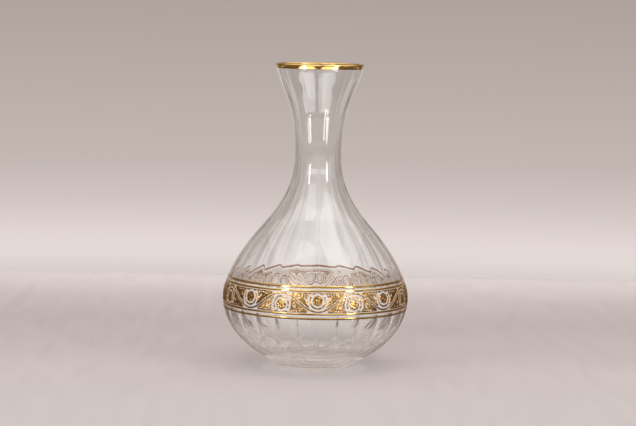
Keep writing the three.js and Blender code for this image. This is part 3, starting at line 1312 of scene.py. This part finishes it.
class PatchCutter:
    """Cuts a form into a closed patch of fine cells that follow its edge."""

    def __init__(self, form: Form, skin: GoldSkin, cell: float) -> None:
        """Read the form on a grid.

        Args:
            form: Form to cut.
            skin: How the gold stands on the glass.
            cell: Size of a cell in millimetres.
        """
        self.form, self.skin, self.cell = form, skin, cell
        half_width, low, high = form.frame()
        columns = int(math.ceil(2 * half_width / cell)) + 2
        rows = int(math.ceil((high - low) / cell)) + 2
        self.left = -columns * cell / 2
        self.bottom = (low + high) / 2 - rows * cell / 2
        x = self.left + np.arange(columns + 1) * cell
        y = self.bottom + np.arange(rows + 1) * cell
        depth = form.inside(*np.meshgrid(x, y, indexing="ij"))
        depth[[0, -1], :] = -1.0
        depth[:, [0, -1]] = -1.0
        self.depth = np.where(np.abs(depth) < LEAST_DEPTH, LEAST_DEPTH, depth)
        self.lit = self.depth > 0
        self.places: list[Point] = []
        self.numbers: dict[tuple, int] = {}

    def numbered(self, key: tuple, column: float, row: float) -> int:
        """Give the number of a point, and place it when it is new.

        Args:
            key: What tells the point from the others.
            column: Its place across the grid, in cells.
            row: Its place up the grid, in cells.

        Returns:
            Its number.
        """
        if key not in self.numbers:
            self.numbers[key] = len(self.places)
            self.places.append((self.left + column * self.cell, self.bottom + row * self.cell))
        return self.numbers[key]

    def crossing(self, first: tuple[int, int], second: tuple[int, int]) -> int:
        """Find where the form's edge crosses the line between two grid corners.

        Args:
            first: Column and row of a corner.
            second: Column and row of its neighbour.

        Returns:
            Number of the point there.
        """
        first, second = sorted((first, second))
        here, there = self.depth[first], self.depth[second]
        share = min(max(here / (here - there), CROSSING_MARGIN), 1 - CROSSING_MARGIN)
        column, row = (start + share * (end - start) for start, end in zip(first, second))
        return self.numbered((first, second), column, row)

    def cut_cell(self, column: int, row: int) -> tuple[Polygon, list[tuple[int, int]]]:
        """Cut one cell.

        Args:
            column: Column of its left side.
            row: Row of its lower side.

        Returns:
            The face that is inside the form, and its sides that lie on the form's edge.
        """
        ring = [(column, row), (column + 1, row), (column + 1, row + 1), (column, row + 1)]
        face: list[int] = []
        edges: list[tuple[int, int]] = []
        left_at = entered_at = None
        for here, there in zip(ring, ring[1:] + ring[:1]):
            if self.lit[here]:
                face.append(self.numbered(here, *here))
            if self.lit[here] == self.lit[there]:
                continue
            point = self.crossing(here, there)
            face.append(point)
            if self.lit[here]:
                left_at = point
            elif left_at is None:
                entered_at = point
            else:
                edges.append((left_at, point))
                left_at = None
        if left_at is not None:
            edges.append((left_at, entered_at))
        return tuple(face), edges

    def cut(self) -> tuple[Array, list[Polygon], list[int]]:
        """Cut the patch and close it with an underside and walls.

        Returns:
            Rows of way along, height and lift, the faces, and each face's kind.
        """
        lit = self.lit
        busy = lit[:-1, :-1] | lit[1:, :-1] | lit[1:, 1:] | lit[:-1, 1:]
        faces: list[Polygon] = []
        edges: list[tuple[int, int]] = []
        for column, row in np.argwhere(busy).tolist():
            face, sides = self.cut_cell(column, row)
            faces.append(face)
            edges += sides
        along, up = np.array(self.places).T
        depth = self.form.inside(along, up)
        skin = self.skin
        rounding = smoothstep(depth, 0.0, skin.edge_width)
        lift = skin.edge + (skin.face - skin.edge + skin.relief * self.form.relief(along, up)) * rounding
        top = np.column_stack([along, up, lift])
        under = np.column_stack([along, up, np.full(len(along), -skin.bite)])
        count = len(along)
        below = [tuple(count + point for point in reversed(face)) for face in faces]
        walls = [(second, first, count + first, count + second) for first, second in edges]
        inked = [depth[list(face)].mean() < skin.outline for face in faces]
        kinds = [GoldFace.BURNISHED.value] * len(faces)
        kinds += [GoldFace.OUTLINE.value if dark else GoldFace.UNDERSIDE.value for dark in inked]
        kinds += [GoldFace.BURNISHED.value] * len(walls)
        return np.concatenate([top, under]), faces + below + walls, kinds


@dataclass
class Gilding:
    """Everything that is gold: the lip, the lines and the frieze. Sizes in millimetres."""

    outline: Outline
    plan: FriezePlan = FriezePlan()
    skin: GoldSkin = GoldSkin()
    cell: float = 0.27
    around: int = 360
    band_rows: int = 7
    rim_band_height: float = 4.6
    rim_rows: int = 7
    lip_steps: int = 16
    stem_steps: int = 44
    stem_rows: int = 7
    pearls: int = 21
    pearl_relief: float = 0.55
    pearl_swing: float = 0.45

    def __post_init__(self) -> None:
        """Find the surface that the gold lies on."""
        self.surface = GlassSurface(self.outline, self.plan.height)
        self.pitch = 2 * math.pi * self.surface.radius / self.plan.roundels

    def ring(self, name: str, outer: Array, under: Array) -> Piece:
        """Make a ring from the profile of its face and of its underside.

        Args:
            name: The piece's name.
            outer: Rows of radius and height of the face, from below up.
            under: Rows of the underside, in the same order.

        Returns:
            The piece.
        """
        profile = np.concatenate([outer, under[::-1]])
        faces = rows_between(len(profile), self.around, closed=True)
        kinds = [
            GoldFace.BURNISHED.value if number // self.around < len(outer) - 1 else GoldFace.UNDERSIDE.value
            for number in range(len(faces))
        ]
        return Piece(name, turned(profile, self.around), faces, kinds)

    def band(self, name: str, reach: float, width: float) -> Piece:
        """Make a level band with a rounded face.

        Args:
            name: The piece's name.
            reach: Height of its middle over the middle of the frieze.
            width: Its width.

        Returns:
            The piece.
        """
        skin = self.skin
        share = np.linspace(-1, 1, self.band_rows)
        place, outward = self.surface.at(self.plan.height + reach + share * width / 2)
        crown = skin.edge + (skin.face + skin.band_crown - skin.edge) * np.sqrt(1 - share**2)
        return self.ring(name, place + outward * crown[:, None], place - outward * skin.bite)

    def rim(self) -> Piece:
        """Make the gold cap of the lip with its band down the outside.

        Returns:
            The piece.
        """
        foot = self.outline.overall_height - self.rim_band_height
        lip_start = self.outline.end()[0][1]
        place, outward = self.surface.at(np.linspace(foot, lip_start, self.rim_rows + 1)[:-1])

        def layer(lift: float) -> Array:
            """Trace the band and the lip at a height over the glass."""
            return np.concatenate([place + outward * lift, self.outline.lip(lift, self.lip_steps)])

        outer = layer(self.skin.face)
        outer[0] = place[0] + outward[0] * self.skin.edge
        return self.ring("rim_gold", outer, layer(-self.skin.bite))

    def stem(self) -> Piece:
        """Make the waving stem with its row of pearls.

        Returns:
            The piece.
        """
        plan, skin = self.plan, self.skin
        steps = plan.roundels * self.stem_steps
        step = np.arange(steps)
        along = step / self.stem_steps * self.pitch
        slope = plan.stem_slope(along, self.pitch)
        stretch = np.hypot(1, slope)
        swing = np.cos(2 * math.pi * step * self.pearls / self.stem_steps)
        pearls = self.pearl_relief + self.pearl_swing * swing
        share = np.linspace(-1, 1, self.stem_rows)
        rise = skin.face - skin.edge + skin.relief * pearls
        lifts = [skin.edge + rise * math.sqrt(1 - side * side) for side in share]
        lifts += [np.full(steps, -skin.bite)] * len(share)
        loops = []
        for side, lift in zip(np.concatenate([share, -share]), lifts):
            offset = side * plan.stem_width / 2
            up = plan.stem_centre(along, self.pitch) + offset / stretch
            loops.append(self.surface.lay(along - slope / stretch * offset, up, lift))
        points = np.stack(loops, axis=1).reshape(-1, 3)
        faces = [(a, d, c, b) for a, b, c, d in rows_between(steps, len(loops), closed=True)]
        kinds = [
            GoldFace.BURNISHED.value if number % len(loops) < len(share) - 1 else GoldFace.UNDERSIDE.value
            for number in range(len(faces))
        ]
        return Piece("frieze_stem_gold", points, faces, kinds)

    def patches(self, kind: str, form: Form) -> list[Piece]:
        """Lay a form in every roundel, upside down in every second one.

        Args:
            kind: Name of the form.
            form: The form in a high roundel's own place.

        Returns:
            The pieces, in order round the belly.
        """
        flat, faces, kinds = PatchCutter(form, self.skin, self.cell).cut()
        along, up, lift = flat.T
        turned_over = [tuple(reversed(face)) for face in faces]
        pieces = []
        for index in range(self.plan.roundels):
            high = index % 2 == 0
            points = self.surface.lay(along + index * self.pitch, up if high else -up, lift)
            name = f"frieze_{kind}_gold_{index + 1:02d}"
            pieces.append(Piece(name, points, faces if high else turned_over, kinds))
        return pieces

    def build(
        self,
        plain: Sequence[bpy.types.Material],
        edged: Sequence[bpy.types.Material],
        chased: Sequence[bpy.types.Material],
    ) -> list[bpy.types.Object]:
        """Make and dress all the gold.

        Args:
            plain: Face and underside of the lip and the lines.
            edged: Face and underside of the borders.
            chased: Face, underside and outline of the frieze.

        Returns:
            The objects, with the lip's first.
        """
        plan = self.plan
        made = [self.rim().build(plain, "rim_gilding", "gilding")]
        bands = {
            "line_upper": (plan.line_reach(plan.line_reserve_upper), plan.line_width, plain),
            "line_lower": (-plan.line_reach(plan.line_reserve_lower), plan.line_width, plain),
            "border_upper": (plan.border_reach, plan.border_width, edged),
            "border_lower": (-plan.border_reach, plan.border_width, edged),
        }
        for name, (reach, width, finishes) in bands.items():
            piece = self.band(f"frieze_{name}_gold", reach, width)
            made.append(piece.build(finishes, f"frieze_{name}", "gilding"))
        made.append(self.stem().build(chased, "frieze_stem", "gilding"))
        forms = {
            "rosette": RosetteForm(plan),
            "scroll": ScrollForm(plan),
            "ground": GroundForm(plan, self.pitch),
        }
        for kind, form in forms.items():
            for number, piece in enumerate(self.patches(kind, form), start=1):
                made.append(piece.build(chased, f"frieze_{kind}_{number:02d}", "gilding"))
        return made


# Table, light and camera


@dataclass
class Table:
    """Pale table top with a far edge behind the carafe, in metres."""

    half_width: float = 1.3
    near: float = -1.3
    far: float = 0.607
    thickness: float = 0.02
    gap: float = 0.0003
    finish: SatinTable = SatinTable()

    def build(self) -> bpy.types.Object:
        """Make the table top as a thin slab.

        Returns:
            The slab.
        """
        corners = [
            (-self.half_width, self.near),
            (self.half_width, self.near),
            (self.half_width, self.far),
            (-self.half_width, self.far),
        ]
        points = [(x, y, -level) for level in (self.gap, self.thickness) for x, y in corners]
        faces = [(0, 1, 2, 3), (7, 6, 5, 4)] + [(i, i + 4, (i + 1) % 4 + 4, (i + 1) % 4) for i in range(4)]
        table = add_mesh("table_top", points, faces, [self.finish.material()])
        table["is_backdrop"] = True
        LOG.info("table_top: laid")
        return table


@dataclass(frozen=True)
class DarkCard:
    """Dark ring or part of one, out of sight on the table: painted shade that glass and gold show.

    Angles are in degrees from the back, sizes in metres.
    """

    name: str
    start: float
    end: float
    inner_radius: float
    mirrored: bool
    outer_radius: float = 0.95
    corners: int = 48
    height: float = 0.002

    def build(self) -> bpy.types.Object:
        """Lay the card.

        Returns:
            The card, painted shade that shows in mirrored rays or else through the glass.
        """
        turns = np.radians(np.linspace(self.start, self.end, self.corners + 1))
        directions = np.column_stack([np.sin(turns), np.cos(turns)])
        flat = np.concatenate([directions * reach for reach in (self.inner_radius, self.outer_radius)])
        points = np.column_stack([flat, np.full(len(flat), self.height)])
        count = len(turns)
        faces = [(i, i + 1, count + i + 1, count + i) for i in range(self.corners)]
        card = add_mesh(self.name, points.tolist(), faces, [PaintedShadeFinish(self.name).material()])
        card.visible_camera = card.visible_diffuse = card.visible_shadow = False
        card.visible_glossy, card.visible_transmission = self.mirrored, not self.mirrored
        card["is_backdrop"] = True
        LOG.info("%s: laid", self.name)
        return card


# Painted shade: darkens what the gold and glass mirror and what the glass lets through
DARK_CARDS = (
    DarkCard("reflected_shade_card", 0, 360, inner_radius=0.045, mirrored=True),
    DarkCard("refracted_shade_card_left", -115, -26, inner_radius=0.09, mirrored=False),
    DarkCard("refracted_shade_card_right", 26, 115, inner_radius=0.09, mirrored=False),
)

WALL = (
    (-8.8, tone(212, 201, 197)),
    (-7.2, tone(214, 203, 199)),
    (-6.55, tone(228, 218, 214)),
    (-6.1, tone(226, 215, 212)),
    (-5.1, tone(208, 197, 193)),
    (-4.0, tone(194, 183, 178)),
    (-2.05, tone(186, 174, 168)),
    (0.4, tone(175, 163, 157)),
    (13.5, tone(164, 153, 147)),
    (40.0, tone(150, 141, 136)),
)
WALL_THROUGH_GLASS = (
    (-8.8, tone(230, 221, 218)),
    (-6.1, tone(227, 218, 215)),
    (-4.8, tone(204, 194, 190)),
    (-3.4, tone(184, 173, 168)),
    (-1.0, tone(171, 160, 154)),
    (13.5, tone(160, 149, 143)),
    (40.0, tone(150, 141, 136)),
)
LIT_SIDES = ((16, tone(88, 76, 68)), (34, tone(226, 220, 216)))
MIRRORED_SIDES = ((26, tone(122, 104, 90)), (48, tone(206, 198, 193)))
SIDES_THROUGH_GLASS = (
    (3, tone(156, 144, 137)),
    (12, tone(214, 205, 201)),
    (24, tone(206, 197, 192)),
    (44, tone(150, 138, 130)),
)


@dataclass(frozen=True)
class Look:
    """The room as one kind of ray sees it: the wall behind, the sides, and where one turns into the other.

    Shades go by the height angle. All angles are in degrees, from level and from the back.
    """

    wall: Shades
    sides: Shades
    turn: Span


@dataclass
class Room:
    """What stands round the table: a pale wall behind, lit low down, and sides that differ by ray.

    Its shades run from the height angle low to the height angle high, in degrees.
    """

    low: float = -8.8
    high: float = 60.0
    lighting: Look = Look(WALL, LIT_SIDES, turn=(30, 62))
    mirrored: Look = Look(WALL, MIRRORED_SIDES, turn=(22, 46))
    refracted: Look = Look(WALL_THROUGH_GLASS, SIDES_THROUGH_GLASS, turn=(16, 36))

    def build(self) -> None:
        """Make the world, of which the camera itself sees only the wall."""
        world = bpy.data.worlds.new("room")
        world.use_nodes = True
        bpy.context.scene.world = world
        board = NodeBoard(world.node_tree)
        x, y, z = board.split(board.add("ShaderNodeTexCoord").outputs["Generated"])
        ends = (math.radians(self.low), math.radians(self.high))
        height = board.span(board.math("ARCSINE", z), ends, (0.0, 1.0))
        turn = board.math("ABSOLUTE", board.math("ARCTAN2", x, y))

        def shaded(shades: Shades) -> Socket:
            """Shade a wall by height."""
            reach = self.high - self.low
            return board.ramp(height, [((angle - self.low) / reach, shade) for angle, shade in shades])

        def seen(look: Look) -> Socket:
            """Join the wall behind and the sides of a look."""
            share = board.span(turn, tuple(map(math.radians, look.turn)), (0.0, 1.0), smooth=True)
            return board.mix(share, shaded(look.wall), shaded(look.sides))

        view = board.mix(board.path("Is Glossy Ray"), seen(self.lighting), seen(self.mirrored))
        view = board.mix(board.path("Is Transmission Ray"), view, seen(self.refracted))
        view = board.mix(board.path("Is Camera Ray"), view, shaded(WALL))
        light = board.add("ShaderNodeBackground")
        board.link(view, light.inputs["Color"])
        board.link(light.outputs["Background"], board.add("ShaderNodeOutputWorld").inputs["Surface"])
        LOG.info("room: lit")


def light_panel(name: str, width: float, height: float, brightness: float) -> bpy.types.Object:
    """Make a flat panel of light that is out of the camera's sight.

    Args:
        name: The panel's name.
        width: Its width in metres.
        height: Its height in metres.
        brightness: How bright its face is, where 1 is white.

    Returns:
        The panel, which shines down.
    """
    lamp = bpy.data.lights.new(name, "AREA")
    lamp.shape = "RECTANGLE"
    lamp.size, lamp.size_y = width, height
    lamp.energy = brightness * math.pi * width * height
    panel = bpy.data.objects.new(name, lamp)
    panel.visible_camera = False
    bpy.context.scene.collection.objects.link(panel)
    LOG.info("%s: set", name)
    return panel


@dataclass(frozen=True)
class SoftBox:
    """A soft panel of light that faces the carafe. Angles in degrees, sizes in metres."""

    name: str
    turn: float
    climb: float
    distance: float
    width: float
    height: float
    brightness: float
    aim: float = 0.13

    def build(self) -> bpy.types.Object:
        """Hang the panel.

        Returns:
            The panel.
        """
        panel = light_panel(self.name, self.width, self.height, self.brightness)
        turn, climb = math.radians(self.turn), math.radians(self.climb)
        level = math.cos(climb)
        toward = Vector((math.sin(turn) * level, -math.cos(turn) * level, math.sin(climb)))
        panel.location = Vector((0, 0, self.aim)) + toward * self.distance
        panel.rotation_mode = "QUATERNION"
        panel.rotation_quaternion = toward.to_track_quat("Z", "Y")
        return panel


@dataclass(frozen=True)
class LowPanel:
    """A bright panel that lies before the carafe and shows only in its glass and gold.

    The turn is in degrees, sizes are in metres.
    """

    name: str
    x: float
    y: float
    turn: float
    width: float
    depth: float
    brightness: float
    through_glass: bool = True
    height: float = 0.01

    def build(self, mirrored_in: bpy.types.Collection) -> bpy.types.Object:
        """Lay the panel.

        Args:
            mirrored_in: The pieces that it shows in.

        Returns:
            The panel.
        """
        panel = light_panel(self.name, self.width, self.depth, self.brightness)
        panel.location = (self.x, self.y, self.height)
        panel.rotation_euler = (math.pi, 0, math.radians(self.turn))
        panel.visible_diffuse = False
        panel.visible_transmission = self.through_glass
        panel.light_linking.receiver_collection = mirrored_in
        return panel


SOFT_BOXES = (
    SoftBox("ceiling", turn=180, climb=82, distance=1.5, width=3.2, height=2.3, brightness=0.69),
    SoftBox("strip_left", turn=-41, climb=17, distance=1.3, width=0.18, height=0.55, brightness=11.0),
    SoftBox("strip_right", turn=43, climb=14, distance=1.3, width=0.18, height=0.50, brightness=11.0),
    SoftBox("overhead_left", turn=-24, climb=48, distance=1.2, width=0.50, height=0.85, brightness=1.15),
    SoftBox("overhead_right", turn=45, climb=57, distance=1.2, width=0.55, height=0.85, brightness=1.35),
    SoftBox("side_right", turn=70, climb=8, distance=1.6, width=0.5, height=0.5, brightness=0.9),
    SoftBox("front", turn=0, climb=9, distance=2.4, width=3.0, height=1.1, brightness=0.46),
)
LOW_PANELS = (
    LowPanel("low_left", -0.219, -0.229, turn=-28, width=0.27, depth=0.13, brightness=2.3),
    LowPanel("low_right", 0.128, -0.274, turn=15, width=0.26, depth=0.13, brightness=2.3),
    LowPanel(
        "low_strip_left", -0.56, -0.56, turn=-45, width=0.12, depth=0.70, brightness=8.0, through_glass=False
    ),
    LowPanel(
        "low_strip_right", 0.50, -0.60, turn=40, width=0.12, depth=0.70, brightness=8.0, through_glass=False
    ),
)
RIM_PANELS = (
    LowPanel("rim_left", -0.36, -0.48, turn=-35, width=0.42, depth=0.50, brightness=1.6),
    LowPanel("rim_right", 0.28, -0.55, turn=27, width=0.42, depth=0.50, brightness=1.6),
)


@dataclass(frozen=True)
class PhotoCamera:
    """Camera where the photograph was taken from.

    Angles are in degrees, lens and sensor in millimetres, the rest in metres.
    """

    lens: float = 118.2
    sensor: float = 36.0
    clip: Span = (0.05, 50.0)
    distance: float = 1.75
    height: float = 0.2947
    turn: float = -1.6
    yaw: float = 0.028
    pitch: float = 5.41
    roll: float = 1.147

    def build(self) -> bpy.types.Object:
        """Make the camera and look through it.

        Returns:
            The camera.
        """
        lens = bpy.data.cameras.new("photo_camera")
        lens.lens, lens.sensor_width = self.lens, self.sensor
        lens.clip_start, lens.clip_end = self.clip
        camera = bpy.data.objects.new("photo_camera", lens)
        yaw, pitch, roll = (math.radians(angle) for angle in (self.yaw, self.pitch, self.roll))
        forward = Vector((math.sin(yaw) * math.cos(pitch), math.cos(yaw) * math.cos(pitch), -math.sin(pitch)))
        right = Vector((math.cos(yaw), -math.sin(yaw), 0.0))
        up = right.cross(forward)
        level = right * math.cos(roll) + up * math.sin(roll)
        upright = up * math.cos(roll) - right * math.sin(roll)
        pose = Matrix((level, upright, -forward)).transposed().to_4x4()
        pose.translation = Vector((0.0, -self.distance, self.height))
        camera.matrix_world = Matrix.Rotation(math.radians(self.turn), 4, "Z") @ pose
        bpy.context.scene.collection.objects.link(camera)
        bpy.context.scene.camera = camera
        LOG.info("photo_camera: set")
        return camera


def deepen_light_paths(bounces: int = 32, glossy: int = 24) -> None:
    """Let light bounce often enough inside the thick base, where the glass mirrors it many times.

    Args:
        bounces: Most bounces of a path, also through glass.
        glossy: Most mirrored bounces.
    """
    cycles = bpy.context.scene.cycles
    cycles.max_bounces = cycles.transmission_bounces = cycles.transparent_max_bounces = bounces
    cycles.glossy_bounces = glossy


def write_sizes() -> None:
    """Gather the box of the solids and of the dressed carafe, which is not kept."""
    boxes = {"cad": CAD_BOX, "visual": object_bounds()}
    {name: [list(corner) for corner in box] for name, box in boxes.items()}


def main() -> None:
    """Build the carafe, then the room round it."""
    logging.basicConfig(level=logging.INFO, format="%(name)s %(message)s")
    bpy.context.scene.view_settings.view_transform = "Standard"
    outline = Outline()
    glass = GlassBody(outline).build(ClearGlass().material(), EtchedGlass().material())
    plain = (BURNISHED_GOLD.material(), LINE_UNDERSIDE.material())
    chased = (CHASED_GOLD.material(), FRIEZE_UNDERSIDE.material(), OUTLINE_UNDERSIDE.material())
    edged = (plain[0], chased[1])
    gold = Gilding(outline).build(plain, edged, chased)
    carafe, rim = (bpy.data.collections.new(name) for name in ("gilded_carafe", "gilded_rim"))
    for piece in (glass, *gold):
        carafe.objects.link(piece)
    rim.objects.link(gold[0])
    Table().build()
    for card in DARK_CARDS:
        card.build()
    Room().build()
    for box in SOFT_BOXES:
        box.build()
    for panels, mirrored_in in ((LOW_PANELS, carafe), (RIM_PANELS, rim)):
        for panel in panels:
            panel.build(mirrored_in)
    PhotoCamera().build()
    deepen_light_paths()
    write_sizes()


if __name__ == "__main__":
    main()
